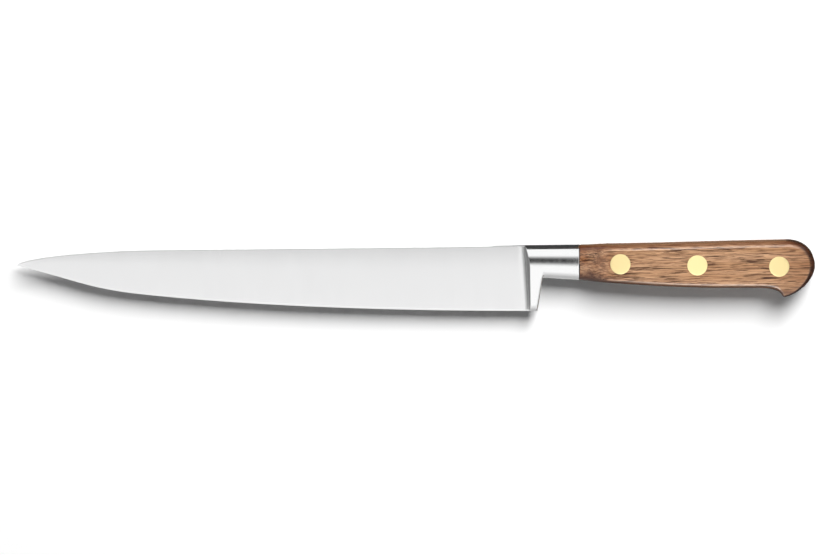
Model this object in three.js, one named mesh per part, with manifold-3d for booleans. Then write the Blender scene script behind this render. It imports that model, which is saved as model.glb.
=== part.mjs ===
import * as THREE from 'three';
import { mergeVertices } from 'three/addons/utils/BufferGeometryUtils.js';
import Module from 'manifold-3d';

const wasm = await Module();
wasm.setup();

// Fillet knife: a forged blade with its guard, collar and full tang, two wooden scales and three two-part
// rivets. All sizes are in millimetres. X runs from the tip to the butt, Y from the cutting edge up to the
// spine and Z across the blade. The drawing starts at the heel of the cutting edge, on the middle plane.

// Blade
const bladeLength = 200;
const heelHeight = 25.68;
const tipHeight = 17.8;
const spineFall = 1.71;
const spinePointLength = 55;
const spineNoseHeight = 3.08;
const edgeRise = 6.5;
const edgePointLength = 49;
const bladeRoot = 2;
const spineThickness = 2.2;
const spineEasing = 0.25;
const edgeBevelHeight = 0.5;
const edgeBevelThickness = 0.34;

// Collar and guard
const collarEnd = 19.75;
const collarThickness = 11.8;
const collarUnderside = 13.2;
const collarFullness = 2.8;
const guardDepth = 3.62;
const guardBackLean = 0.121;
const guardTipThickness = 5;
const guardTipRound = 2.4;
const guardEdgeRadius = 0.6;
const guardFilletDrop = 1;
const guardFilletHeight = 4.3;
const guardFilletReach = 2.4;

// Ramp between the blade and the bolster
const rampAngle = THREE.MathUtils.degToRad(64);
const rampLean = THREE.MathUtils.degToRad(4.1);
const rampFoot = 0.4;
const rampFillet = 0.8;
const rampSink = 0.05;

// Handle
const scaleLength = 92.2;
const gripThickness = 15;
const tangThickness = 2.4;
const cheekTaper = 12;
const gripRounding = 1.8;
const beakRounding = 0.5;
const buttRise = 2.01;
const buttRounding = 10.65;
const bellyHeight = 9.5;
const beakSetback = 11.7;
const beakDrop = 3.75;
const beakSweep = 9.8;
const beakNoseHalf = 0.75;

// Rivets
const firstRivet = 16.1;
const frontPitch = 30.1;
const rearPitch = 32;
const frontRivetHeight = 18.9;
const rearRivetHeight = 17.95;
const rivetHeadDiameter = 7.9;
const rivetHeadThickness = 2.2;
const sleeveDiameter = 5;
const pinDiameter = 3.2;
const sleeveWall = 0.8;
const pinEndRoom = 0.4;
const drillClearance = 0.1;

// Fineness of the curves
const roundSegments = 32;
const roundoverSteps = 8;

// Sizes that follow from the ones above
const buttEnd = collarEnd + scaleLength;
const spineTop = heelHeight + buttRise;
const collarMiddle = (heelHeight + collarUnderside) / 2;
const tangHalf = tangThickness / 2;
const gripHalf = gripThickness / 2;
const collarHalf = collarThickness / 2;
const grindSlope = (spineThickness - edgeBevelThickness) / 2 / (heelHeight - edgeBevelHeight);
const beak = new THREE.Vector2(buttEnd - beakSetback, bellyHeight - beakDrop);
const lapUnderRamp = 4;

const toSolid = (geometry) => {
  const bare = new THREE.BufferGeometry();
  bare.setAttribute('position', geometry.getAttribute('position'));
  bare.setIndex(geometry.getIndex());
  const merged = mergeVertices(bare, 1e-4);
  const corners = merged.getIndex().array;
  const triangles = [];
  for (let i = 0; i < corners.length; i += 3) {
    const triangle = corners.slice(i, i + 3);
    if (new Set(triangle).size === 3) {
      triangles.push(...triangle);
    }
  }
  return new wasm.Manifold(new wasm.Mesh({
    numProp: 3,
    vertProperties: Float32Array.from(merged.getAttribute('position').array),
    triVerts: Uint32Array.from(triangles),
  }));
};

const toMesh = (name, solid, material) => {
  const { vertProperties, triVerts } = solid.getMesh();
  const geometry = new THREE.BufferGeometry();
  geometry.setAttribute('position', new THREE.BufferAttribute(vertProperties, 3));
  geometry.setIndex(new THREE.BufferAttribute(triVerts, 1));
  geometry.computeVertexNormals();
  const mesh = new THREE.Mesh(geometry, material);
  mesh.name = name;
  return mesh;
};

// A skin over rings with the same number of points. A flat fan closes the first ring, and the last one too
// unless the skin already runs together there.
const loft = (rings, runsTogether) => {
  const count = rings[0].length;
  const position = rings.flat().flatMap((point) => [point.x, point.y, point.z]);
  const index = [];
  for (let ring = 0; ring + 1 < rings.length; ring += 1) {
    for (let side = 0; side < count; side += 1) {
      const a = ring * count + side;
      const b = ring * count + ((side + 1) % count);
      index.push(a, b, b + count, a, b + count, a + count);
    }
  }
  const last = (rings.length - 1) * count;
  for (let side = 1; side + 1 < count; side += 1) {
    index.push(0, side + 1, side);
    if (!runsTogether) {
      index.push(last, last + side, last + side + 1);
    }
  }
  const geometry = new THREE.BufferGeometry();
  geometry.setAttribute('position', new THREE.Float32BufferAttribute(position, 3));
  geometry.setIndex(index);
  return geometry;
};

const spread = (from, to, steps) => Array.from({ length: steps }, (_, i) => from + ((to - from) * i) / steps);

const box = (low, high) => {
  const geometry = new THREE.BoxGeometry(high.x - low.x, high.y - low.y, high.z - low.z);
  geometry.translate((low.x + high.x) / 2, (low.y + high.y) / 2, (low.z + high.z) / 2);
  return toSolid(geometry);
};

// Blade: wedge sections between the spine and the cutting edge, ground to one slope and closing at the tip
const tip = new THREE.Vector2(-bladeLength, tipHeight);
const edgeBend = new THREE.Vector2(edgePointLength - bladeLength, edgeRise);
const spineBend = new THREE.Vector2(spinePointLength - bladeLength, heelHeight - spineFall);
const cuttingEdge = new THREE.CurvePath();
cuttingEdge.add(new THREE.LineCurve(new THREE.Vector2(bladeRoot, 0), new THREE.Vector2(0, 0)));
cuttingEdge.add(new THREE.CubicBezierCurve(
  new THREE.Vector2(0, 0),
  new THREE.Vector2(0.26 * edgeBend.x, 0),
  new THREE.Vector2(0.656 * edgeBend.x, 0.146 * edgeRise),
  edgeBend,
));
cuttingEdge.add(new THREE.CubicBezierCurve(
  edgeBend,
  new THREE.Vector2(edgeBend.x - 0.418 * edgePointLength, 1.34 * edgeRise),
  new THREE.Vector2(tip.x + 0.502 * edgePointLength, THREE.MathUtils.lerp(edgeRise, tipHeight, 0.443)),
  tip,
));
const spine = new THREE.CurvePath();
spine.add(new THREE.LineCurve(
  new THREE.Vector2(bladeRoot, heelHeight),
  new THREE.Vector2(-bladeRoot, heelHeight),
));
spine.add(new THREE.CubicBezierCurve(
  new THREE.Vector2(-bladeRoot, heelHeight),
  new THREE.Vector2(0.2 * spineBend.x, heelHeight - 0.35 * spineFall),
  new THREE.Vector2(0.666 * spineBend.x, heelHeight - 0.716 * spineFall),
  spineBend,
));
spine.add(new THREE.CubicBezierCurve(
  spineBend,
  new THREE.Vector2(spineBend.x - 0.46 * spinePointLength, heelHeight - 1.15 * spineFall),
  new THREE.Vector2(tip.x, tipHeight + spineNoseHeight),
  tip,
));

const bladeRing = (share) => {
  const low = cuttingEdge.getPointAt(share);
  const high = spine.getPointAt(share);
  const height = low.distanceTo(high);
  const bevel = Math.min(edgeBevelHeight, height / 2);
  const bevelHalf = (edgeBevelThickness / 2) * (bevel / edgeBevelHeight);
  const spineHalf = bevelHalf + grindSlope * (height - bevel);
  const easing = Math.min(spineEasing, height / 4, spineHalf / 2);
  const at = (rise, across) => {
    const point = low.clone().lerp(high, height > 0 ? rise / height : 0);
    return new THREE.Vector3(point.x, point.y, across);
  };
  return [
    at(0, 0),
    at(bevel, bevelHalf),
    at(height - easing, spineHalf),
    at(height, spineHalf - easing),
    at(height, easing - spineHalf),
    at(height - easing, -spineHalf),
    at(bevel, -bevelHalf),
  ];
};
const bladeShares = [...spread(0, 0.75, 24), ...spread(0.75, 0.96, 16), ...spread(0.96, 1, 10), 1];
const blade = toSolid(loft(bladeShares.map(bladeRing), true));

// Grip: one outer shape for the collar and the scales, which are ground flush with each other
const topLine = new THREE.CubicBezierCurve(
  new THREE.Vector2(-lapUnderRamp, heelHeight),
  new THREE.Vector2(collarEnd + 0.34 * scaleLength, heelHeight + 0.2 * buttRise),
  new THREE.Vector2(collarEnd + 0.4 * scaleLength, heelHeight + 0.57 * buttRise),
  new THREE.Vector2(buttEnd - buttRounding, spineTop),
);
const buttMiddle = new THREE.Vector2(buttEnd, spineTop - 0.887 * buttRounding);
const upperButt = new THREE.CubicBezierCurve(
  topLine.v3,
  new THREE.Vector2(buttEnd - 0.39 * buttRounding, spineTop),
  new THREE.Vector2(buttEnd, spineTop - 0.4 * buttRounding),
  buttMiddle,
);
const bellyLine = new THREE.CubicBezierCurve(
  new THREE.Vector2(-lapUnderRamp, collarUnderside),
  new THREE.Vector2(collarEnd, collarUnderside),
  new THREE.Vector2(collarEnd + 0.27 * scaleLength, bellyHeight),
  new THREE.Vector2(collarEnd + 0.6 * scaleLength, bellyHeight),
);
const bellyFlat = new THREE.LineCurve(bellyLine.v3, new THREE.Vector2(beak.x - beakSweep, bellyHeight));
const beakFront = new THREE.CubicBezierCurve(
  bellyFlat.v2,
  new THREE.Vector2(beak.x - 0.49 * beakSweep, bellyHeight),
  new THREE.Vector2(beak.x - 0.27 * beakSweep, beak.y + 0.755 * beakDrop),
  new THREE.Vector2(beak.x - beakNoseHalf, beak.y + 0.47 * beakNoseHalf),
);
const beakNose = new THREE.QuadraticBezierCurve(
  beakFront.v3,
  new THREE.Vector2(beak.x - 0.3 * beakNoseHalf, beak.y - 0.45 * beakNoseHalf),
  new THREE.Vector2(beak.x + beakNoseHalf, beak.y + 0.07 * beakNoseHalf),
);
const lowerButt = new THREE.CubicBezierCurve(
  beakNose.v2,
  new THREE.Vector2(beak.x + 0.56 * beakSetback, THREE.MathUtils.lerp(beak.y, buttMiddle.y, 0.17)),
  new THREE.Vector2(buttEnd, THREE.MathUtils.lerp(beak.y, buttMiddle.y, 0.58)),
  buttMiddle,
);

const onCurve = (curve, x) => {
  let low = 0;
  let high = 1;
  for (let i = 0; i < 40; i += 1) {
    const middle = (low + high) / 2;
    if (curve.getPoint(middle).x < x) {
      low = middle;
    } else {
      high = middle;
    }
  }
  return { point: curve.getPoint(low), along: curve.getTangent(low) };
};
const curveStation = (curve, t) => ({ point: curve.getPoint(t), along: curve.getTangent(t) });

// How far a station has passed from the oval collar section, 0, to the flat-sided grip section, 1
const flattening = (x) => THREE.MathUtils.smoothstep(x, collarEnd, collarEnd + cheekTaper);

const gripRing = (top, belly) => {
  const flat = flattening(top.point.x);
  const ovalHalf = (top.point.y - belly.point.y) / 2;
  const half = THREE.MathUtils.lerp(collarHalf, gripHalf, flat);
  const power = 2 / THREE.MathUtils.lerp(collarFullness, 2, flat);
  const nearBeak = Math.exp(-(((belly.point.x - beak.x) / (4 * beakNoseHalf)) ** 2));
  const bellyRounding = THREE.MathUtils.lerp(gripRounding, beakRounding, nearBeak);
  const roundover = (station, turn, rounding, side) => spread(0, 1, roundoverSteps).concat(1).map((share) => {
    const angle = (share * Math.PI) / 2;
    const inset = THREE.MathUtils.lerp(ovalHalf, rounding, flat);
    const rise = THREE.MathUtils.lerp(collarHalf - tangHalf, rounding, flat);
    const inward = inset * (1 - Math.cos(angle) ** power);
    return new THREE.Vector3(
      station.point.x - turn * inward * -station.along.y,
      station.point.y - turn * inward * station.along.x,
      side * (half - rise * (1 - Math.sin(angle) ** power)),
    );
  });
  return [
    ...roundover(top, 1, gripRounding, -1).reverse(),
    ...roundover(top, 1, gripRounding, 1),
    ...roundover(belly, -1, bellyRounding, 1).reverse(),
    ...roundover(belly, -1, bellyRounding, -1),
  ];
};

const bodyStations = [
  ...spread(-lapUnderRamp, collarEnd, 6),
  ...spread(collarEnd, collarEnd + cheekTaper, 12),
  ...spread(collarEnd + cheekTaper, bellyLine.v3.x, 10),
];
const gripRings = [
  ...bodyStations.map((x) => gripRing(onCurve(topLine, x), onCurve(bellyLine, x))),
  ...spread(0, 1, 3).map((t) => curveStation(bellyFlat, t)).map((belly) => (
    gripRing(onCurve(topLine, belly.point.x), belly))),
  ...spread(0, 1, 10).map((t) => curveStation(beakFront, t)).map((belly) => (
    gripRing(onCurve(topLine, belly.point.x), belly))),
  ...spread(0, 1, 6).map((t) => curveStation(beakNose, t)).map((belly) => (
    gripRing(onCurve(topLine, belly.point.x), belly))),
  ...spread(0, 1, 16).map((t) => gripRing(curveStation(upperButt, t), curveStation(lowerButt, t))),
  gripRing(
    { point: buttMiddle, along: new THREE.Vector2(0, -1) },
    { point: buttMiddle, along: new THREE.Vector2(0, 1) },
  ),
];
const grip = toSolid(loft(gripRings, true));

// Rebates in the grip for the scales, from the back of the collar to the butt on either side of the tang
const rebate = (side) => {
  const inner = side * tangHalf;
  const outer = side * gripThickness;
  return box(
    new THREE.Vector3(collarEnd, -heelHeight, Math.min(inner, outer)),
    new THREE.Vector3(buttEnd + gripThickness, 2 * heelHeight, Math.max(inner, outer)),
  );
};

// Guard: flat-sided sections that narrow downwards, with a rounded tip and a fillet up to the collar
const guardTop = collarMiddle;
const guardFilletStart = collarUnderside - guardFilletDrop;
const guardHalf = (y) => {
  const tipHalf = guardTipThickness / 2;
  const straight = THREE.MathUtils.lerp(tipHalf, 0.98 * collarHalf, y / (0.92 * guardTop));
  const tuck = Math.max(0, 1 - y / guardTipRound);
  return Math.min(straight, 0.99 * collarHalf) - 0.45 * tipHalf * (1 - Math.sqrt(1 - tuck ** 2));
};
const guardBack = (y) => {
  const rise = THREE.MathUtils.clamp((y - guardFilletStart) / guardFilletHeight, 0, 1);
  return guardDepth + guardBackLean * y + guardFilletReach * (1 - Math.sqrt(1 - rise ** 2));
};
const guardRing = (y) => {
  const half = guardHalf(y);
  const back = guardBack(y);
  const corner = (side) => spread(0, 1, 4).concat(1).map((share) => {
    const angle = (share * Math.PI) / 2;
    return new THREE.Vector3(
      back - guardEdgeRadius * (1 - Math.cos(angle)),
      y,
      side * (half - guardEdgeRadius * (1 - Math.sin(angle))),
    );
  });
  return [
    new THREE.Vector3(-lapUnderRamp, y, -half),
    new THREE.Vector3(-lapUnderRamp, y, half),
    ...corner(1).reverse(),
    ...corner(-1),
  ];
};
const guardStations = [
  ...spread(0, guardTipRound, 6),
  ...spread(guardTipRound, guardFilletStart, 4),
  ...spread(guardFilletStart, guardTop, 8),
  guardTop,
];
const guard = toSolid(loft(guardStations.map(guardRing), false));

// Ramp cutter: all that stands in front of the slope from the blade face up to the collar and the guard
const rampCutter = (side) => {
  const reach = 3 * lapUnderRamp;
  const rise = collarThickness;
  const footRun = rampFillet * Math.tan(rampAngle / 2);
  const profile = new THREE.Shape();
  profile.moveTo(-reach, 0);
  profile.lineTo(-footRun, 0);
  const arcSteps = spread(0, 1, 5).concat(1);
  arcSteps.forEach((share) => {
    const angle = share * rampAngle;
    const along = -footRun + rampFillet * Math.sin(angle);
    profile.lineTo(along, side * rampFillet * (1 - Math.cos(angle)));
  });
  profile.lineTo(rise / Math.tan(rampAngle), side * rise);
  profile.lineTo(-reach, side * rise);
  profile.closePath();
  const length = 2 * heelHeight;
  const geometry = new THREE.ExtrudeGeometry(profile, { depth: length, bevelEnabled: false });
  const up = new THREE.Vector3(-Math.tan(rampLean), 1, side * grindSlope).normalize();
  const across = new THREE.Vector3(Math.cos(rampLean), Math.sin(rampLean), 0);
  const down = up.clone().negate();
  const outward = new THREE.Vector3().crossVectors(down, across).normalize();
  const start = new THREE.Vector3(-rampFoot, 0, side * (edgeBevelThickness / 2 - rampSink));
  start.addScaledVector(up, 0.75 * length);
  geometry.applyMatrix4(new THREE.Matrix4().makeBasis(across, outward, down).setPosition(start));
  return toSolid(geometry);
};

// Rivets: a headed sleeve from the left side and a headed pin from the right one, ground flush with the grip
const headSeat = gripHalf - rivetHeadThickness;
const headRadius = rivetHeadDiameter / 2;
const sleeveRadius = sleeveDiameter / 2;
const pinRadius = pinDiameter / 2;
const sleeveEnd = pinRadius + drillClearance - headSeat;
const pinTop = headSeat - sleeveWall;
const beyondFace = gripThickness;
const turned = (profile, place) => {
  const geometry = new THREE.LatheGeometry(profile.map(([r, z]) => new THREE.Vector2(r, z)), roundSegments);
  geometry.rotateX(Math.PI / 2);
  geometry.translate(place.x, place.y, 0);
  return toSolid(geometry);
};
const boreAt = (place) => turned([
  [0, -beyondFace],
  [headRadius + drillClearance, -beyondFace],
  [headRadius + drillClearance, -headSeat],
  [sleeveRadius + drillClearance, -headSeat],
  [sleeveRadius + drillClearance, headSeat],
  [headRadius + drillClearance, headSeat],
  [headRadius + drillClearance, beyondFace],
  [0, beyondFace],
], place);
const sleeveAt = (place) => turned([
  [0, pinTop],
  [pinRadius + drillClearance, pinTop],
  [pinRadius + drillClearance, sleeveEnd],
  [sleeveRadius, sleeveEnd],
  [sleeveRadius, headSeat],
  [headRadius, headSeat],
  [headRadius, beyondFace],
  [0, beyondFace],
], place).intersect(grip);
const pinAt = (place) => turned([
  [0, -beyondFace],
  [headRadius, -beyondFace],
  [headRadius, -headSeat],
  [pinRadius, -headSeat],
  [pinRadius, pinTop - pinEndRoom],
  [0, pinTop - pinEndRoom],
], place).intersect(grip);

const rivetHeightAt = (run) => (
  THREE.MathUtils.lerp(frontRivetHeight, rearRivetHeight, run / (frontPitch + rearPitch)));
const rivetPlace = (run) => new THREE.Vector2(collarEnd + firstRivet + run, rivetHeightAt(run));
const rivetPlaces = {
  front: rivetPlace(0),
  middle: rivetPlace(frontPitch),
  rear: rivetPlace(frontPitch + rearPitch),
};
const bores = Object.values(rivetPlaces).map(boreAt).reduce((all, bore) => all.add(bore));

// Pieces
const leftRebate = rebate(1);
const rightRebate = rebate(-1);
const bolster = grip
  .subtract(leftRebate)
  .subtract(rightRebate)
  .add(guard)
  .subtract(rampCutter(1))
  .subtract(rampCutter(-1));
const forging = bolster.add(blade).subtract(bores);
const leftScale = grip.intersect(leftRebate).subtract(bores);
const rightScale = grip.intersect(rightRebate).subtract(bores);

const steel = () => new THREE.MeshStandardMaterial({ color: 0xdcdddd, roughness: 0.32, metalness: 1 });
const walnut = () => new THREE.MeshStandardMaterial({ color: 0xb58c6c, roughness: 0.5, metalness: 0 });
const brass = () => new THREE.MeshStandardMaterial({ color: 0xf3e3a6, roughness: 0.25, metalness: 1 });

const knife = new THREE.Group();
knife.name = 'fillet_knife';
knife.add(toMesh('blade', forging, steel()));
knife.add(toMesh('left_scale', leftScale, walnut()));
knife.add(toMesh('right_scale', rightScale, walnut()));
Object.entries(rivetPlaces).forEach(([position, place]) => {
  knife.add(toMesh(`${position}_rivet_sleeve`, sleeveAt(place), brass()));
  knife.add(toMesh(`${position}_rivet_pin`, pinAt(place), brass()));
});

// The knife lies on its right scale, with the middle of its length and height at the origin
knife.position.set((bladeLength - buttEnd) / 2, -spineTop / 2, gripHalf);

const part = new THREE.Group();
part.add(knife);

export default part;
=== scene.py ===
import math

import bmesh
import bpy
import numpy as np
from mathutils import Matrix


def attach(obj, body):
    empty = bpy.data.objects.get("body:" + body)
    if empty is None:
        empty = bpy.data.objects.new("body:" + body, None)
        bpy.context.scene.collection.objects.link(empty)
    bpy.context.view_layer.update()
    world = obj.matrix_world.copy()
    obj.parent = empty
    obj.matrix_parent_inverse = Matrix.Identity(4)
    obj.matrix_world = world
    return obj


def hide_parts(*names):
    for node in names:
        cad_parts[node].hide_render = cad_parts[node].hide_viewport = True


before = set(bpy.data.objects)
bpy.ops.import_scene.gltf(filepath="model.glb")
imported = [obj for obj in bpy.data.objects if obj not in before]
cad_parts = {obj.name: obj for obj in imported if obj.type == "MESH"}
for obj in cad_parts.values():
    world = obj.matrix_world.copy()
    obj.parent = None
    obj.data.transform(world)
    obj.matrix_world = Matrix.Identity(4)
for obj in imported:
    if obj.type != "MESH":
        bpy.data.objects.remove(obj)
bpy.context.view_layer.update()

# Sizes of the knife in millimetres, in a drawing that starts at the heel of the cutting edge on the middle
# plane: X to the butt, Y to the spine, Z to the photographed side.

# Blade
BLADE_LENGTH = 200.0
HEEL_HEIGHT = 25.68
TIP_HEIGHT = 17.8
SPINE_FALL = 1.71
SPINE_POINT = 55.0
SPINE_NOSE = 3.08
EDGE_RISE = 6.5
EDGE_POINT = 49.0
SPINE_HALF = 1.1
SPINE_EASING = 0.25
SPINE_ROLL = 0.06
SPINE_ROLL_WIDTH = 9.0
BEVEL_HEIGHT = 0.5
BEVEL_HALF = 0.17
EDGE_HALF = 0.015
EDGE_STRIP = 0.5
GRIND_SLOPE = (SPINE_HALF - BEVEL_HALF) / (HEEL_HEIGHT - BEVEL_HEIGHT)

# Collar, guard and the ramp up to them. A FALL is how steeply a form drops outside its outline, and a FADE is
# the stretch over which a form ends.
COLLAR_END = 19.75
COLLAR_HALF = 5.9
COLLAR_UNDERSIDE = 13.2
COLLAR_FULLNESS = 2.8
COLLAR_LAP = 4.0
COLLAR_FALL = 40.0
GUARD_DEPTH = 3.54
GUARD_BACK_LEAN = 0.155
GUARD_TIP_HALF = 2.5
GUARD_TIP_ROUND = 3.2
GUARD_EDGE_RADIUS = 0.9
GUARD_FILLET_REACH = 0.8
GUARD_FILLET_RISE = (12.2, 18.0)
GUARD_FALL = 6.0
GUARD_MERGE_RISE = 3.3
GUARD_MERGE_SINK = 0.5
GUARD_CORNER = (0.12, 0.2)
GUARD_CORNER_REACH = 3.0
RAMP_SLOPE = math.tan(math.radians(73))
RAMP_STEEPENING = 0.75
RAMP_LEAN = math.tan(math.radians(3.7))
RAMP_FOOT = 0.05
RAMP_SINK = 0.05
RAMP_CREST = 0.35
RAMP_LEAD = 3.6
RAMP_SPAN = 5.9
FILLET_AT_SPINE = 0.12
FILLET_AT_EDGE = 0.8
FILLET_GROWTH = 0.35
FILLET_PAST_RAMP = 0.02
FILLET_FADE = (1.0, 2.5)
APRON_LEAD = 3.2
APRON_RADIUS = 9.0
APRON_FADE = (0.5, 2.0)

# Grip
SCALE_LENGTH = 92.2
GRIP_HALF = 7.5
TANG_HALF = 1.2
CHEEK_TAPER = 12.0
GRIP_ROUNDING = 1.8
TOP_ROUNDING = 2.4
BEAK_ROUNDING = 0.9
BUTT_RISE = 2.01
BUTT_ROUNDING = 10.65
BELLY_HEIGHT = 9.5
BEAK_SETBACK = 12.24
BEAK_DROP = 3.98
BEAK_SWEEP = 9.8
BEAK_NOSE = 1.28
SEAM_EASING = 0.08
SEAM_GAP = 0.02

# Rivets
RIVETS = {"front": (35.85, 18.9), "middle": (65.95, 18.4395), "rear": (97.95, 17.95)}
HEAD_RADIUS = 3.95
HEAD_THICKNESS = 2.2
HEAD_EASING = 0.06
HEAD_CLEARANCE = 0.02
HEAD_CROWN = 0.012
SLEEVE_RADIUS = 2.5
PIN_RADIUS = 1.6
SLEEVE_WALL = 0.8
PIN_END_ROOM = 0.4
DRILL_CLEARANCE = 0.1

# Fineness of the meshes: points, rows or columns in each stretch, the places of the closest columns, and the
# angle above which an edge is shown sharp
DENSE = np.linspace(0, 1, 2001)
TIP_SHARE = 0.1
TIP_STATIONS = 40
BLADE_STATIONS = 111
BEVEL_ROWS = 7
GUARD_TIP_ROWS = 7
GUARD_ROWS = 16
OVAL_ROWS = 49
RAMP_COLUMNS = 75
SATIN_COLUMNS = 43
GUARD_COLUMNS = 9
GUARD_EDGE_COLUMNS = 9
COLLAR_COLUMNS = 25
BEHIND_GUARD = (0.03, 0.08, 0.15, 0.25, 0.4, 0.6, 0.85, 1.2)
BEFORE_SEAM = (0.2, 0.08, 0.05, 0.02, 0)
CHEEK_STATIONS = 40
GRIP_STATIONS = 46
BELLY_STATIONS = 14
BEAK_STATIONS = 30
NOSE_STATIONS = 16
BUTT_STATIONS = 49
ROUNDOVER_POINTS = 17
FACE_POINTS = 9
BACK_POINTS = 4
RIVET_SEGMENTS = 96
HEAD_RIM_POINTS = 6
HEAD_RINGS = (3.2, 2.4, 1.6, 0.8, 0)
SHARP_ANGLE = math.radians(32)

# Sizes that follow from these
BUTT_END = COLLAR_END + SCALE_LENGTH
SPINE_TOP = HEEL_HEIGHT + BUTT_RISE
COLLAR_RISE = COLLAR_HALF - TANG_HALF
COLLAR_MIDDLE = (HEEL_HEIGHT + COLLAR_UNDERSIDE) / 2
GUARD_TOP = 0.92 * COLLAR_MIDDLE
GUARD_TOP_HALF = 1.008 * COLLAR_HALF
GUARD_SIDE_LIMIT = 0.99 * COLLAR_HALF
GUARD_TUCK = 0.6 * GUARD_TIP_HALF
BEAK = np.array([BUTT_END - BEAK_SETBACK, BELLY_HEIGHT - BEAK_DROP])
BUTT_MIDDLE = np.array([BUTT_END, SPINE_TOP - 0.887 * BUTT_ROUNDING])
ORIGIN = np.array([(BLADE_LENGTH - BUTT_END) / 2, -SPINE_TOP / 2, GRIP_HALF])


def lerp(a, b, share):
    return a + (b - a) * share


def smoothstep(x, low, high):
    t = np.clip((x - low) / (high - low), 0, 1)
    return t * t * (3 - 2 * t)


def smooth_max(a, b, k):
    return np.maximum(a, b) + k / 4 * np.maximum(0, 1 - np.abs(a - b) / k) ** 2


def smooth_min(a, b, k):
    return -smooth_max(-a, -b, k)


def bezier(points, t):
    rows = [np.asarray(p, float)[None, :] * np.ones((len(t), 1)) for p in points]
    while len(rows) > 1:
        rows = [lerp(a, b, t[:, None]) for a, b in zip(rows, rows[1:])]
    return rows[0]


def bezier_along(points, t):
    corners = np.asarray(points, float)
    slope = bezier(corners[1:] - corners[:-1], t)
    return slope / np.linalg.norm(slope, axis=1)[:, None]


def by_length(path, shares):
    steps = np.linalg.norm(np.diff(path, axis=0), axis=1)
    run = np.concatenate([[0], np.cumsum(steps)])
    return np.stack([np.interp(shares * run[-1], run, path[:, i]) for i in (0, 1)], axis=1)


# Outline of the blade
tip = (-BLADE_LENGTH, TIP_HEIGHT)
edge_bend = (EDGE_POINT - BLADE_LENGTH, EDGE_RISE)
spine_bend = (SPINE_POINT - BLADE_LENGTH, HEEL_HEIGHT - SPINE_FALL)
edge_curves = [
    [(0, 0), (0.26 * edge_bend[0], 0), (0.656 * edge_bend[0], 0.146 * EDGE_RISE), edge_bend],
    [
        edge_bend,
        (edge_bend[0] - 0.418 * EDGE_POINT, 1.34 * EDGE_RISE),
        (tip[0] + 0.502 * EDGE_POINT, lerp(EDGE_RISE, TIP_HEIGHT, 0.443)),
        tip,
    ],
]
spine_curves = [
    [
        (-2, HEEL_HEIGHT),
        (0.2 * spine_bend[0], HEEL_HEIGHT - 0.35 * SPINE_FALL),
        (0.666 * spine_bend[0], HEEL_HEIGHT - 0.716 * SPINE_FALL),
        spine_bend,
    ],
    [
        spine_bend,
        (spine_bend[0] - 0.46 * SPINE_POINT, HEEL_HEIGHT - 1.15 * SPINE_FALL),
        (tip[0], TIP_HEIGHT + SPINE_NOSE),
        tip,
    ],
]


def outline_from(curves, start):
    path = np.concatenate([bezier(c, DENSE) for c in curves])
    ahead = path[path[:, 0] < start[0] - 1e-6]
    return np.concatenate([[start], ahead])


# Outline of the grip
top_line = [
    (-COLLAR_LAP, HEEL_HEIGHT),
    (COLLAR_END + 0.34 * SCALE_LENGTH, HEEL_HEIGHT + 0.2 * BUTT_RISE),
    (COLLAR_END + 0.4 * SCALE_LENGTH, HEEL_HEIGHT + 0.57 * BUTT_RISE),
    (BUTT_END - BUTT_ROUNDING, SPINE_TOP),
]
upper_butt = [
    top_line[3],
    (BUTT_END - 0.39 * BUTT_ROUNDING, SPINE_TOP),
    (BUTT_END, SPINE_TOP - 0.4 * BUTT_ROUNDING),
    BUTT_MIDDLE,
]
belly_line = [
    (-COLLAR_LAP, COLLAR_UNDERSIDE),
    (COLLAR_END, COLLAR_UNDERSIDE),
    (COLLAR_END + 0.27 * SCALE_LENGTH, BELLY_HEIGHT),
    (COLLAR_END + 0.6 * SCALE_LENGTH, BELLY_HEIGHT),
]
belly_flat = [belly_line[3], (BEAK[0] - BEAK_SWEEP, BELLY_HEIGHT)]
beak_front = [
    belly_flat[1],
    (BEAK[0] - 0.49 * BEAK_SWEEP, BELLY_HEIGHT),
    (BEAK[0] - 0.143 * BEAK_SWEEP, BEAK[1] + 0.77 * BEAK_DROP),
    (BEAK[0] - 0.48 * BEAK_NOSE, BEAK[1] + 0.876 * BEAK_NOSE),
]
beak_nose = [
    beak_front[3],
    tuple(BEAK),
    (BEAK[0] + 0.884 * BEAK_NOSE, BEAK[1] + 0.468 * BEAK_NOSE),
]
lower_butt = [
    beak_nose[2],
    (BEAK[0] + 0.53 * BEAK_SETBACK, lerp(BEAK[1], BUTT_MIDDLE[1], 0.15)),
    (BUTT_END, lerp(BEAK[1], BUTT_MIDDLE[1], 0.6)),
    BUTT_MIDDLE,
]
top_samples = bezier(top_line, DENSE)
belly_samples = bezier(belly_line, DENSE)


def top_at(x):
    return np.interp(x, top_samples[:, 0], top_samples[:, 1])


def belly_at(x):
    return np.interp(x, belly_samples[:, 0], belly_samples[:, 1])


def top_share(x):
    return np.interp(x, top_samples[:, 0], DENSE)


def belly_share(x):
    return np.interp(x, belly_samples[:, 0], DENSE)


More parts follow.
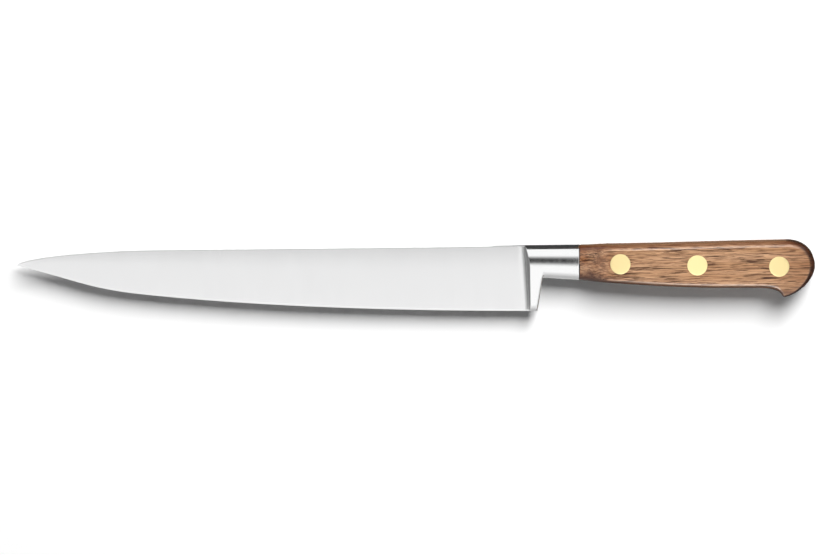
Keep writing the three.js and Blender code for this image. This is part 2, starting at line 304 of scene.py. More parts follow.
# Half thickness of each form of the forging over the side view
def blade_half(rise, height):
    """The ground blade at a rise over its edge, where it is height high: bevel, flat face and eased spine."""
    bevel = np.minimum(BEVEL_HEIGHT, height / 2)
    bevel_half = BEVEL_HALF * bevel / BEVEL_HEIGHT
    face = bevel_half + GRIND_SLOPE * (rise - bevel)
    bevel_face = lerp(EDGE_HALF, bevel_half, np.clip(rise / np.maximum(bevel, 1e-6), 0, 1))
    fullness = height / HEEL_HEIGHT
    roll_width = SPINE_ROLL_WIDTH * fullness
    roll = np.clip((rise - height + roll_width) / np.maximum(roll_width, 1e-6), 0, 1) ** 2
    easing = np.minimum(SPINE_EASING, height / 4)
    turn = np.clip((rise - height + easing) / np.maximum(easing, 1e-6), 0, 1)
    half = face - SPINE_ROLL * fullness * roll - easing * (1 - np.sqrt(1 - turn**2))
    return np.maximum(np.where(rise < bevel, bevel_face, half), EDGE_HALF * 0.5)


def collar_half(x, y):
    """An oval between the belly and top lines, which is eased at the seam and falls away outside the oval."""
    top = top_at(x)
    belly = belly_at(x)
    reach = np.abs((y - (top + belly) / 2) / ((top - belly) / 2))
    inside = np.clip(1 - reach**COLLAR_FULLNESS, 0, 1) ** (1 / COLLAR_FULLNESS)
    ease = np.clip((x - COLLAR_END + SEAM_EASING) / SEAM_EASING, 0, 1) ** 2 * SEAM_EASING
    return TANG_HALF + COLLAR_RISE * inside - ease - COLLAR_FALL * np.maximum(0, reach - 1)


def guard_back(y):
    return GUARD_DEPTH + GUARD_BACK_LEAN * y + GUARD_FILLET_REACH * smoothstep(y, *GUARD_FILLET_RISE)


def guard_half(x, y):
    """A guard that tapers to a tucked, rounded tip and has a rounded back edge."""
    straight = lerp(GUARD_TIP_HALF, GUARD_TOP_HALF, y / GUARD_TOP)
    tuck = np.clip(1 - y / GUARD_TIP_ROUND, 0, 1)
    side = np.minimum(straight, GUARD_SIDE_LIMIT)
    side = side - GUARD_TUCK * (1 - np.sqrt(1 - tuck**2))
    past = x - guard_back(y)
    turn = np.clip(past / GUARD_EDGE_RADIUS + 1, 0, 1)
    return side - GUARD_EDGE_RADIUS * (1 - np.sqrt(1 - turn**2)) - GUARD_FALL * np.maximum(0, past)


def ramp_foot(y):
    return RAMP_FOOT - RAMP_LEAN * y


def apron(x, y):
    """The swelling of the blade towards the foot of the ramp."""
    past = x - ramp_foot(y)
    swelling = np.maximum(0, past + APRON_LEAD) ** 2 / (2 * APRON_RADIUS)
    return swelling * (1 - smoothstep(past, *APRON_FADE))


def forging_half(x, y):
    """Blade, ramp, guard and collar run together."""
    blade = blade_half(y, np.full_like(y, HEEL_HEIGHT))
    collar = collar_half(x, y)
    guard = guard_half(x, y)
    merge = smoothstep(y, COLLAR_UNDERSIDE + GUARD_MERGE_RISE, COLLAR_MIDDLE)
    guard = guard - merge * np.maximum(0, guard - collar + GUARD_MERGE_SINK)
    above = smoothstep(y, COLLAR_UNDERSIDE, COLLAR_UNDERSIDE + GUARD_CORNER_REACH)
    bolster = smooth_max(collar, guard, lerp(*GUARD_CORNER, above))
    past = x - ramp_foot(y)
    slope = RAMP_SLOPE * (1 + RAMP_STEEPENING * smoothstep(y, COLLAR_MIDDLE, HEEL_HEIGHT))
    ramp = blade - RAMP_SINK + past * slope
    bolster = smooth_min(bolster, ramp, RAMP_CREST)
    fillet = FILLET_AT_SPINE + FILLET_GROWTH * (HEEL_HEIGHT - y)
    fillet = np.clip(fillet, FILLET_AT_SPINE, FILLET_AT_EDGE)
    fillet = lerp(fillet, FILLET_PAST_RAMP, smoothstep(past, *FILLET_FADE))
    return smooth_max(blade + apron(x, y), bolster, fillet)


# Forging: one sheet over the side view, lifted to half the thickness and mirrored
def lower_rows():
    """Heights of the rows below the collar, closest round the tip of the guard."""
    bevel_turn = math.acos(1 - BEVEL_HEIGHT / GUARD_TIP_ROUND)
    turns = np.concatenate([
        np.linspace(0, bevel_turn, BEVEL_ROWS),
        np.linspace(bevel_turn, math.pi / 2, GUARD_TIP_ROWS)[1:],
    ])
    return np.concatenate([
        GUARD_TIP_ROUND * (1 - np.cos(turns)),
        np.linspace(GUARD_TIP_ROUND, COLLAR_UNDERSIDE, GUARD_ROWS)[1:-1],
    ])


def upper_shares():
    """Places of the rows over the collar, spaced like its oval, from 0 at the belly to 1 at the top."""
    turns = np.linspace(0, math.pi, OVAL_ROWS)
    reach = np.sign(np.cos(turns)) * np.abs(np.cos(turns)) ** (2 / COLLAR_FULLNESS)
    return (1 - reach) / 2


class Sheet:
    """A quad sheet that is built up strip by strip, with a material number on every face."""

    def __init__(self):
        self.points = []
        self.faces = []
        self.finish = []

    def column(self, x, y, z):
        first = len(self.points)
        self.points.extend(np.stack([x, y, z], axis=1))
        return np.arange(first, first + len(x))

    def strip(self, left, right, finishes):
        for i, finish in zip(range(len(left) - 1), finishes):
            self.faces.append((left[i], right[i], right[i + 1], left[i + 1]))
            self.finish.append(finish)


SATIN, POLISHED, BEVELLED, RIM = 0, 1, 2, 3


def forging_sheet():
    sheet = Sheet()
    low_rows = lower_rows()
    shares = upper_shares()
    heel_rows = np.concatenate([low_rows, lerp(COLLAR_UNDERSIDE, HEEL_HEIGHT, shares)])
    split = len(low_rows)
    satin = [BEVELLED if r < BEVEL_HEIGHT - 1e-6 else SATIN for r in heel_rows[:-1]]
    polished = [POLISHED] * (len(heel_rows) - 1)

    heel_low = np.array([ramp_foot(0) - RAMP_LEAD, 0])
    heel_high = np.array([ramp_foot(HEEL_HEIGHT) - RAMP_LEAD, HEEL_HEIGHT])
    stations = np.concatenate([
        [1.0],
        1 - np.geomspace(1e-4, TIP_SHARE, TIP_STATIONS),
        np.linspace(1 - TIP_SHARE, 0, BLADE_STATIONS)[1:],
    ])
    lows = by_length(outline_from(edge_curves, heel_low), stations)
    highs = by_length(outline_from(spine_curves, heel_high), stations)
    previous = None
    for low, high in zip(lows, highs):
        height = np.linalg.norm(high - low)
        strip = EDGE_STRIP * min(1.0, height / 2)
        rise = np.interp(
            heel_rows,
            [0, EDGE_STRIP, HEEL_HEIGHT - EDGE_STRIP, HEEL_HEIGHT],
            [0, strip, height - strip, height],
        )
        place = low + (high - low) * (rise / max(height, 1e-9))[:, None]
        now = sheet.column(place[:, 0], place[:, 1], blade_half(rise, np.full_like(rise, height)))
        if previous is not None:
            sheet.strip(previous, now, satin)
        previous = now

    def rows_at(x_of_row):
        """One column of points, with its upper rows fitted between the belly and top lines."""
        y = heel_rows.copy()
        for _ in range(3):
            x = x_of_row(y)
            upper = lerp(belly_at(x[split:]), top_at(x[split:]), shares)
            y = np.concatenate([low_rows, upper])
        return x_of_row(y), y

    def front(y):
        return ramp_foot(y) - RAMP_LEAD

    columns = [lambda y, o=o: front(y) + o for o in np.linspace(0, RAMP_SPAN, RAMP_COLUMNS)[1:]]
    columns += [
        lambda y, s=s: lerp(front(y) + RAMP_SPAN, guard_back(y) - GUARD_EDGE_RADIUS, s)
        for s in np.linspace(0, 1, GUARD_COLUMNS)[1:]
    ]
    columns += [
        lambda y, a=a: guard_back(y) - GUARD_EDGE_RADIUS * (1 - math.sin(a))
        for a in np.linspace(0, math.pi / 2, GUARD_EDGE_COLUMNS)[1:]
    ]
    for number, x_of_row in enumerate(columns):
        x, y = rows_at(x_of_row)
        now = sheet.column(x, y, forging_half(x, y))
        sheet.strip(previous, now, satin if number < SATIN_COLUMNS else polished)
        previous = now

    previous = previous[split:]
    behind = [lambda y, o=o: guard_back(y) + o for o in BEHIND_GUARD]
    behind += [
        lambda y, s=s: lerp(guard_back(y) + BEHIND_GUARD[-1], COLLAR_END - BEFORE_SEAM[0], s)
        for s in np.linspace(0, 1, COLLAR_COLUMNS)[1:]
    ]
    behind += [lambda y, o=o: np.full_like(y, COLLAR_END - o) for o in BEFORE_SEAM[1:]]
    for x_of_row in behind:
        x, y = rows_at(x_of_row)
        x, y = x[split:], y[split:]
        now = sheet.column(x, y, forging_half(x, y))
        sheet.strip(previous, now, [POLISHED] * (len(now) - 1))
        previous = now

    for station in grip_stations():
        place = lerp(station[2], station[0], shares[:, None])
        now = sheet.column(place[:, 0], place[:, 1], np.full(len(place), TANG_HALF))
        sheet.strip(previous, now, [RIM] * (len(now) - 1))
        previous = now
    return sheet


def grip_stations():
    """Rows of (top point, its direction, belly point, its direction) from the collar to the butt."""
    rows = []

    def pairs(top_curve, top_t, belly_curve, belly_t):
        rows.extend(zip(
            bezier(top_curve, top_t),
            bezier_along(top_curve, top_t),
            bezier(belly_curve, belly_t),
            bezier_along(belly_curve, belly_t),
        ))

    x = np.concatenate([
        np.linspace(COLLAR_END, COLLAR_END + CHEEK_TAPER, CHEEK_STATIONS),
        np.linspace(COLLAR_END + CHEEK_TAPER, belly_line[3][0], GRIP_STATIONS)[1:],
    ])
    pairs(top_line, top_share(x), belly_line, belly_share(x))
    beak = ((belly_flat, BELLY_STATIONS), (beak_front, BEAK_STATIONS), (beak_nose, NOSE_STATIONS))
    for curve, count in beak:
        t = np.linspace(0, 1, count)[1:]
        pairs(top_line, top_share(bezier(curve, t)[:, 0]), curve, t)
    t = np.linspace(0, 1, BUTT_STATIONS)[:-1]
    pairs(upper_butt, t, lower_butt, t)
    rows.append((BUTT_MIDDLE, np.array([0, -1.0]), BUTT_MIDDLE, np.array([0, 1.0])))
    return rows


# Scales and rivets, and how every mesh is made
def new_object(name, points, faces, finishes, materials):
    mesh = bpy.data.meshes.new(name)
    mesh.from_pydata([tuple(p) for p in points], [], [tuple(int(i) for i in f) for f in faces])
    for material in materials:
        mesh.materials.append(material)
    mesh.polygons.foreach_set("material_index", finishes)
    shape = bmesh.new()
    shape.from_mesh(mesh)
    bmesh.ops.remove_doubles(shape, verts=shape.verts, dist=1e-7)
    bmesh.ops.dissolve_degenerate(shape, edges=shape.edges, dist=1e-8)
    bmesh.ops.recalc_face_normals(shape, faces=shape.faces)
    shape.to_mesh(mesh)
    shape.free()
    piece = bpy.data.objects.new(name, mesh)
    bpy.context.scene.collection.objects.link(piece)
    return piece


def in_metres(points):
    return (np.asarray(points) + ORIGIN) / 1000


def mirrored_solid(name, sheet, materials):
    """The sheet and its mirror image, joined by walls along the open edges."""
    points = np.asarray(sheet.points)
    count = len(points)
    both = np.concatenate([points, points * np.array([1, 1, -1])])
    faces = [tuple(f) for f in sheet.faces] + [tuple(i + count for i in reversed(f)) for f in sheet.faces]
    finishes = list(sheet.finish) * 2
    uses = {}
    for face, finish in zip(sheet.faces, sheet.finish):
        for a, b in zip(face, face[1:] + face[:1]):
            uses.setdefault(frozenset((a, b)), []).append((a, b, finish))
    for sides in uses.values():
        if len(sides) == 1:
            a, b, finish = sides[0]
            faces.append((b, a, a + count, b + count))
            finishes.append(finish)
    return new_object(name, in_metres(both), faces, finishes, materials)


def scale_ring(station, side):
    """One section of a scale: the collar's oval in front, a flat side with rounded edges behind."""
    top, top_along, belly, belly_along = station
    flat = smoothstep(top[0], COLLAR_END, COLLAR_END + CHEEK_TAPER)
    oval_half = (top[1] - belly[1]) / 2
    half = lerp(COLLAR_HALF, GRIP_HALF, flat)
    power = 2 / lerp(COLLAR_FULLNESS, 2, flat)
    to_beak = smoothstep(belly[0], BEAK[0] - 2.4 * BEAK_NOSE, BEAK[0] - 0.4 * BEAK_NOSE)
    past_beak = np.clip((belly[0] - BEAK[0]) / (BUTT_END - BEAK[0]), 0, 1) ** 3
    angles = np.linspace(0, math.pi / 2, ROUNDOVER_POINTS)

    def roundover(point, along, turn, rounding):
        inset = lerp(oval_half, rounding, flat)
        rise = lerp(COLLAR_RISE, GRIP_ROUNDING, flat)
        inward = inset * (1 - np.clip(np.cos(angles), 0, 1) ** power)
        height = half - rise * (1 - np.sin(angles) ** power)
        wall = TANG_HALF + np.array([0, SEAM_EASING, 0.5 * (half - rise - TANG_HALF)])
        wall = np.minimum(wall, half - rise)
        inward = np.concatenate([[SEAM_EASING, 0, 0], inward])
        height = np.concatenate([wall, height])
        x = point[0] + turn * inward * along[1]
        y = point[1] - turn * inward * along[0]
        return np.stack([x, y, side * height], axis=1)

    lower = lerp(lerp(GRIP_ROUNDING, BEAK_ROUNDING, to_beak), TOP_ROUNDING, past_beak)
    up = roundover(belly, belly_along, -1, lower)
    down = roundover(top, top_along, 1, TOP_ROUNDING)[::-1]
    face = lerp(up[-1], down[0], np.linspace(0, 1, FACE_POINTS)[1:-1, None])
    back = lerp(down[-1], up[0], np.linspace(0, 1, BACK_POINTS)[1:-1, None])
    return np.concatenate([up, face, down, back])


def scale_piece(name, side, material):
    rings = [scale_ring(s, side) for s in grip_stations()]
    rings[0] = rings[0] + np.array([SEAM_GAP, 0, 0])
    count = len(rings[0])
    points = np.concatenate(rings)
    faces = []
    for ring in range(len(rings) - 1):
        for i in range(count):
            a = ring * count + i
            b = ring * count + (i + 1) % count
            faces.append((a, b, b + count, a + count))
    faces.append(tuple(range(count)))
    piece = new_object(name, in_metres(points), faces, [0] * len(faces), [material])
    cut(piece, [bore(place) for place in RIVETS.values()])
    smooth(piece)
    return piece


def turned(name, profile, place, materials):
    """A solid of revolution about the rivet's axis; profile is (radius, height) from axis to axis."""
    angles = np.linspace(0, 2 * math.pi, RIVET_SEGMENTS, endpoint=False)
    points = []
    for radius, height in profile:
        ring = np.stack([
            place[0] + radius * np.cos(angles),
            place[1] + radius * np.sin(angles),
            np.full_like(angles, height),
        ], axis=1)
        points.append(ring)
    faces = []
    for ring in range(len(profile) - 1):
        for i in range(RIVET_SEGMENTS):
            a = ring * RIVET_SEGMENTS + i
            b = ring * RIVET_SEGMENTS + (i + 1) % RIVET_SEGMENTS
            faces.append((a, b, b + RIVET_SEGMENTS, a + RIVET_SEGMENTS))
    return new_object(name, in_metres(np.concatenate(points)), faces, [0] * len(faces), materials)


HEAD_SEAT = GRIP_HALF - HEAD_THICKNESS
PIN_TOP = HEAD_SEAT - SLEEVE_WALL
SLEEVE_END = PIN_RADIUS + DRILL_CLEARANCE - HEAD_SEAT


def bore(place):
    head = HEAD_RADIUS + HEAD_CLEARANCE
    shank = SLEEVE_RADIUS + DRILL_CLEARANCE
    reach = 2 * GRIP_HALF
    profile = [
        (0, -reach), (head, -reach), (head, -HEAD_SEAT), (shank, -HEAD_SEAT),
        (shank, HEAD_SEAT), (head, HEAD_SEAT), (head, reach), (0, reach),
    ]
    return turned("bore", profile, place, [])


def head_profile(side):
    """A slightly crowned head with an eased rim, from the rim's foot to the middle of the face."""
    angles = np.linspace(0, math.pi / 2, HEAD_RIM_POINTS)
    radius = HEAD_RADIUS - HEAD_EASING * (1 - np.cos(angles))
    height = GRIP_HALF - HEAD_EASING * (1 - np.sin(angles))
    inner = [(r, GRIP_HALF + HEAD_CROWN * (1 - (r / HEAD_RADIUS) ** 2)) for r in HEAD_RINGS]
    return [(r, side * h) for r, h in [*zip(radius, height), *inner]]


def sleeve_piece(name, place, material):
    inside = PIN_RADIUS + DRILL_CLEARANCE
    profile = [
        (0, PIN_TOP), (inside, PIN_TOP), (inside, SLEEVE_END), (SLEEVE_RADIUS, SLEEVE_END),
        (SLEEVE_RADIUS, HEAD_SEAT), (HEAD_RADIUS, HEAD_SEAT), *head_profile(1),
    ]
    piece = turned(name, profile, place, [material])
    smooth(piece)
    return piece


def pin_piece(name, place, material):
    end = PIN_TOP - PIN_END_ROOM
    profile = [
        (0, end), (PIN_RADIUS, end), (PIN_RADIUS, -HEAD_SEAT), (HEAD_RADIUS, -HEAD_SEAT), *head_profile(-1),
    ]
    piece = turned(name, profile, place, [material])
    smooth(piece)
    return piece


def cut(piece, cutters):
    for cutter in cutters:
        change = piece.modifiers.new("bore", "BOOLEAN")
        change.operation = "DIFFERENCE"
        change.solver = "EXACT"
        change.object = cutter
    bpy.context.view_layer.update()
    view = piece.evaluated_get(bpy.context.evaluated_depsgraph_get())
    made = bpy.data.meshes.new_from_object(view)
    piece.modifiers.clear()
    piece.data = made
    for cutter in cutters:
        bpy.data.objects.remove(cutter)


def smooth(piece):
    piece.data.polygons.foreach_set("use_smooth", [True] * len(piece.data.polygons))
    piece.data.set_sharp_from_angle(angle=SHARP_ANGLE)


# Materials
def srgb(red, green, blue, strength=1.0):
    def linear(value):
        value = value / 255
        return value / 12.92 if value <= 0.04045 else ((value + 0.055) / 1.055) ** 2.4

    return (linear(red) * strength, linear(green) * strength, linear(blue) * strength, 1)


class Paint:
    """A material's node tree with short calls for the nodes that the finishes share."""

    def __init__(self, name):
        self.material = bpy.data.materials.new(name)
        self.material.use_nodes = True
        self.tree = self.material.node_tree
        self.shader = self.tree.nodes["Principled BSDF"]
        self.place = self.node("ShaderNodeTexCoord").outputs["Object"]

    def node(self, kind, **settings):
        made = self.tree.nodes.new(kind)
        for key, value in settings.items():
            setattr(made, key, value)
        return made

    def put(self, socket, value):
        if isinstance(value, bpy.types.NodeSocket):
            self.tree.links.new(value, socket)
        else:
            socket.default_value = value

    def math(self, operation, a, b=0.0, clamp=False):
        made = self.node("ShaderNodeMath", operation=operation, use_clamp=clamp)
        self.put(made.inputs[0], a)
        self.put(made.inputs[1], b)
        return made.outputs[0]

    def vector(self, operation, a, b):
        made = self.node("ShaderNodeVectorMath", operation=operation)
        self.put(made.inputs[0], a)
        self.put(made.inputs[1], b)
        return made.outputs[0]

    def noise(self, place, cell_mm, detail=2.0, roughness=0.5, output="Fac"):
        """Noise whose cells measure about cell_mm along X, Y and Z."""
        spaced = self.vector("MULTIPLY", place, tuple(1000 / c for c in cell_mm))
        made = self.node("ShaderNodeTexNoise")
        made.inputs["Scale"].default_value = 1.0
        made.inputs["Detail"].default_value = detail
        made.inputs["Roughness"].default_value = roughness
        self.put(made.inputs["Vector"], spaced)
        return made.outputs[output]

    def between(self, value, low, high, to_low=0.0, to_high=1.0):
        made = self.node("ShaderNodeMapRange", interpolation_type="SMOOTHSTEP")
        self.put(made.inputs["Value"], value)
        for key, number in (("From Min", low), ("From Max", high), ("To Min", to_low), ("To Max", to_high)):
            made.inputs[key].default_value = number
        return made.outputs["Result"]

    def mix(self, share, a, b):
        made = self.node("ShaderNodeMix", data_type="RGBA")
        self.put(made.inputs[0], share)
        self.put(made.inputs[6], a)
        self.put(made.inputs[7], b)
        return made.outputs[2]

    def bump(self, height, strength, distance_mm):
        made = self.node("ShaderNodeBump")
        made.inputs["Strength"].default_value = strength
        made.inputs["Distance"].default_value = distance_mm / 1000
        self.put(made.inputs["Height"], height)
        self.put(self.shader.inputs["Normal"], made.outputs["Normal"])

    def set(self, **values):
        for key, value in values.items():
            self.put(self.shader.inputs[key.replace("_", " ")], value)


def satin_steel():
    paint = Paint("satin_steel")
    strokes = paint.noise(paint.place, (0.35, 26, 8), 3, 0.6)
    clouds = paint.noise(paint.place, (9, 18, 9), 2)
    tone = paint.math("ADD", paint.math("MULTIPLY", strokes, 0.6), paint.math("MULTIPLY", clouds, 0.4))
    colour = paint.mix(paint.between(tone, 0.3, 0.7), (0.95, 0.95, 0.952, 1), (0.97, 0.97, 0.972, 1))
    paint.set(
        Base_Color=colour,
        Metallic=1.0,
        Roughness=paint.between(strokes, 0.3, 0.7, 0.15, 0.18),
    )
    paint.bump(strokes, 0.012, 0.02)
    return paint.material


def polished_steel():
    paint = Paint("polished_steel")
    haze = paint.noise(paint.place, (1.2, 6, 6), 3, 0.6)
    scratches = paint.noise(paint.place, (14, 0.12, 0.12), 2, 0.6)
    colour = paint.mix(haze, (0.94, 0.94, 0.94, 1), (0.97, 0.97, 0.97, 1))
    paint.set(Base_Color=colour, Metallic=1.0, Roughness=paint.between(haze, 0.3, 0.7, 0.1, 0.13))
    paint.bump(scratches, 0.006, 0.01)
    return paint.material


def bevel_steel():
    paint = Paint("edge_steel")
    strokes = paint.noise(paint.place, (0.15, 6, 6), 2, 0.6)
    colour = paint.mix(strokes, (0.9, 0.9, 0.9, 1), (0.97, 0.97, 0.97, 1))
    paint.set(Base_Color=colour, Metallic=1.0, Roughness=paint.between(strokes, 0.3, 0.7, 0.18, 0.26))
    return paint.material


# The tang's rim has a dark steel colour: painted shade along the grip's edges between the scales
def tang_steel():
    paint = Paint("tang_steel")
    strokes = paint.noise(paint.place, (5, 5, 0.12), 3, 0.6)
    colour = paint.mix(strokes, (0.20, 0.19, 0.18, 1), (0.30, 0.29, 0.28, 1))
    paint.set(Base_Color=colour, Metallic=1.0, Roughness=paint.between(strokes, 0.3, 0.7, 0.3, 0.4))
    paint.bump(strokes, 0.06, 0.02)
    return paint.material


def brass():
    paint = Paint("brass")
    strokes = paint.noise(paint.place, (0.2, 3.5, 3.5), 3, 0.6)
    colour = paint.mix(strokes, (0.85, 0.69, 0.345, 1), (0.87, 0.715, 0.365, 1))
    paint.set(Base_Color=colour, Metallic=1.0, Roughness=paint.between(strokes, 0.3, 0.7, 0.375, 0.405))
    paint.bump(strokes, 0.04, 0.02)
    return paint.material


# Where the walnut changes and where painted shade on it grows, in metres along X and, for the beak, along Y
COLLAR_WOOD = (0.064, 0.088)
BUTT_WOOD = (0.132, 0.156)
BEAK_WOOD = (-0.0068, -0.0038)
FRONT_EDGE_SHADE = (0.07, 0.1)
GLUE_LINE = (0.0638, 0.0643)


def walnut():
    paint = Paint("walnut")
    wander = paint.noise(paint.place, (60, 14, 14), 2, 0.5, "Color")
    wander = paint.vector("SUBTRACT", wander, (0.5, 0.5, 0.5))
    place = paint.vector("ADD", paint.place, paint.vector("MULTIPLY", wander, (0.0, 0.002, 0.002)))
    along = paint.node("ShaderNodeSeparateXYZ")
    paint.put(along.inputs[0], paint.place)
    facing = paint.node("ShaderNodeSeparateXYZ")
    paint.put(facing.inputs[0], paint.node("ShaderNodeNewGeometry").outputs["Normal"])
    near_collar = paint.between(along.outputs["X"], *COLLAR_WOOD, 1, 0)
    near_butt = paint.between(along.outputs["X"], *BUTT_WOOD)
    near_beak = paint.between(along.outputs["Y"], *BEAK_WOOD, 1, 0)

    bands = paint.noise(place, (70, 3.2, 3.2), 3, 0.55)
    fibres = paint.noise(place, (14, 0.3, 0.3), 3, 0.65)
    long_pores = paint.noise(place, (12, 0.4, 0.4), 2, 0.5)
    short_pores = paint.noise(place, (5, 0.3, 0.3), 2, 0.5)
    patches = paint.noise(place, (12, 4, 4), 2)
    figure = paint.noise(place, (2.2, 0.9, 0.9), 3, 0.6)
    clouds = paint.noise(place, (7, 3.5, 3.5), 2)
    beak_lines = paint.noise(place, (9, 0.42, 0.42), 2, 0.5)

    # Bands and fibres along the grain
    colour = paint.mix(paint.between(bands, 0.3, 0.7), srgb(180, 135, 97), srgb(206, 162, 124))
    fibre_share = paint.math("MULTIPLY", paint.between(fibres, 0.45, 0.6), 0.66)
    colour = paint.mix(fibre_share, colour, srgb(118, 79, 53))

    # Darker towards the butt, warm and speckled towards the collar
    colour = paint.mix(paint.math("MULTIPLY", near_butt, 0.48), colour, srgb(120, 73, 42))
    collar_shade = paint.math("MULTIPLY", near_collar, paint.between(clouds, 0.4, 0.6, 0.66, 0.14))
    colour = paint.mix(collar_shade, colour, srgb(128, 71, 28))
    speckle = paint.math("MULTIPLY", near_collar, paint.between(figure, 0.46, 0.58))
    speckle = paint.math("MULTIPLY", speckle, paint.between(clouds, 0.4, 0.6, 0.85, 0.35))
    colour = paint.mix(speckle, colour, srgb(82, 44, 24))

    # Open pores
    pores = paint.math("MULTIPLY", paint.between(long_pores, 0.55, 0.59), paint.between(patches, 0.35, 0.55))
    small = paint.math("MULTIPLY", paint.between(short_pores, 0.56, 0.64), 0.75)
    pores = paint.math("MAXIMUM", pores, small)
    colour = paint.mix(paint.math("MULTIPLY", pores, 0.95), colour, srgb(62, 36, 23))

    # Darker beak, with dark grain lines and painted shade at its rounded tip, and painted shade on the
    # rounded edges
    beak_lines_and_shade = paint.math("MULTIPLY", near_beak, paint.between(beak_lines, 0.42, 0.56, 0.2, 0.9))
    colour = paint.mix(beak_lines_and_shade, colour, srgb(92, 58, 42))
    # Painted shade on the rounded edges: they darken as they turn from the face, more near the collar and the
    # butt
    edge = paint.between(paint.math("ABSOLUTE", facing.outputs["Z"]), 0.8, 0.995, 1, 0)
    edge_shade_share = paint.math(
        "MAXIMUM",
        paint.between(near_butt, 0, 1, 0.6, 0.9),
        paint.between(along.outputs["X"], *FRONT_EDGE_SHADE, 0.8, 0.6),
    )
    colour = paint.mix(paint.math("MULTIPLY", edge, edge_shade_share), colour, srgb(84, 42, 22))

    # End grain where the wood faces the butt, darkened to near black as painted shade too, and the glue line
    # at the collar
    rings = paint.between(paint.noise(place, (20, 0.9, 0.9), 2, 0.5), 0.35, 0.65)
    end_grain_and_shade = paint.mix(rings, srgb(40, 21, 14), srgb(72, 42, 27))
    dots = paint.between(paint.noise(place, (8, 0.28, 0.28), 2, 0.5), 0.54, 0.62, 0, 0.8)
    end_grain_and_shade = paint.mix(dots, end_grain_and_shade, srgb(26, 13, 9))
    colour = paint.mix(paint.between(facing.outputs["X"], 0, 0.3, 0, 0.95), colour, end_grain_and_shade)
    colour = paint.mix(paint.between(along.outputs["X"], *GLUE_LINE, 0.8, 0), colour, srgb(40, 24, 16))

    paint.set(
        Base_Color=colour,
        Roughness=paint.between(pores, 0, 1, 0.45, 0.6),
        Specular_IOR_Level=0.2,
        Coat_Weight=1.0,
        Coat_Roughness=0.12,
    )
    height = paint.math("SUBTRACT", paint.math("MULTIPLY", fibres, 0.3), pores)
    paint.bump(height, 0.05, 0.08)
    return paint.material


# Pieces. The steels stand in the order of SATIN, POLISHED, BEVELLED and RIM.
steel = [satin_steel(), polished_steel(), bevel_steel(), tang_steel()]
walnut_finish = walnut()
brass_finish = brass()

forging = mirrored_solid("forged_blade", forging_sheet(), steel)
cut(forging, [bore(place) for place in RIVETS.values()])
smooth(forging)
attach(forging, "root")
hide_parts("blade")

for side_name, side in (("left", 1), ("right", -1)):
    scale = scale_piece(f"{side_name}_walnut_scale", side, walnut_finish)
    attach(scale, "root")
    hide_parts(f"{side_name}_scale")

for rivet, rivet_place in RIVETS.items():
    sleeve = sleeve_piece(f"{rivet}_sleeve", rivet_place, brass_finish)
    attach(sleeve, "root")
    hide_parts(f"{rivet}_rivet_sleeve")
    pin = pin_piece(f"{rivet}_pin", rivet_place, brass_finish)
    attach(pin, "root")
    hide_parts(f"{rivet}_rivet_pin")


# Stage, in metres and in degrees from straight above to the spine side
STUDIO = 3.0
FLOOR_REACH = 8
FLOOR_DROP = 1e-4
FLOOR_CARD_RISE = 1e-4
FLOOR_TONE = 0.7
WORLD_LIGHT = 0.075
WHITE = (1, 1, 1, 1)
# WARM is the glow of floor sheets that give the grip's edges a painted brown reflection
WARM = (0.32, 0.17, 0.09, 1)
# DUSK is the glow of floor sheets that give reflections painted shade on the belly side
DUSK = (0.16, 0.135, 0.115, 1)
GAP_LEVELS = [
    (-7.1, 1.0), (-5.6, 0.45), (-4.3, 0.03), (-0.5, 0.03),
    (2.6, 0.14), (6.2, 0.36), (10.5, 0.72), (16, 1.0),
]
TIP_LEVELS = [
    (0, 0.28), (1, 0.22), (2, 0.18), (3, 0.17), (4, 0.21), (5, 0.3), (6, 0.5), (7, 0.75), (9, 1.0),
]


def maths(tree, operation, a, b):
    made = tree.nodes.new("ShaderNodeMath")
    made.operation = operation
    for socket, value in zip(made.inputs, (a, b)):
        if isinstance(value, bpy.types.NodeSocket):
            tree.links.new(value, socket)
        else:
            socket.default_value = value
    return made.outputs[0]


def background_level(tree, plain):
    """A level that is 1 where the camera, glass or a mirror sees it, and plain where it only lights."""
    path = tree.nodes.new("ShaderNodeLightPath")
    direct = maths(tree, "LESS_THAN", path.outputs["Diffuse Depth"], 0.5)
    seen = maths(tree, "MULTIPLY", path.outputs["Is Glossy Ray"], direct)
    seen = maths(tree, "MAXIMUM", seen, path.outputs["Is Transmission Ray"])
    seen = maths(tree, "MAXIMUM", seen, path.outputs["Is Camera Ray"])
    made = tree.nodes.new("ShaderNodeMapRange")
    tree.links.new(seen, made.inputs["Value"])
    made.inputs["To Min"].default_value = plain
    made.inputs["To Max"].default_value = 1.0
    return made.outputs["Result"]


def panel(x, y, z):
    """The corners of a rectangle. Two of x, y and z are (low, high), and the third is one place."""
    axes = (x, y, z)
    first, second = (i for i, span in enumerate(axes) if isinstance(span, tuple))
    corners = []
    for a, b in ((0, 0), (1, 0), (1, 1), (0, 1)):
        corner = list(axes)
        corner[first] = axes[first][a]
        corner[second] = axes[second][b]
        corners.append(tuple(corner))
    return corners


def stage_sheet(name, corners, material):
    mesh = bpy.data.meshes.new(name)
    mesh.from_pydata(corners, [], [(0, 1, 2, 3)])
    mesh.materials.append(material)
    sheet = bpy.data.objects.new(name, mesh)
    bpy.context.scene.collection.objects.link(sheet)
    return sheet


def bare_material(name, shader):
    """A material with one plain shader, and that shader."""
    material = bpy.data.materials.new(name)
    material.use_nodes = True
    nodes = material.node_tree.nodes
    nodes.remove(nodes["Principled BSDF"])
    made = nodes.new(shader)
    material.node_tree.links.new(made.outputs[0], nodes["Material Output"].inputs["Surface"])
    return material, made


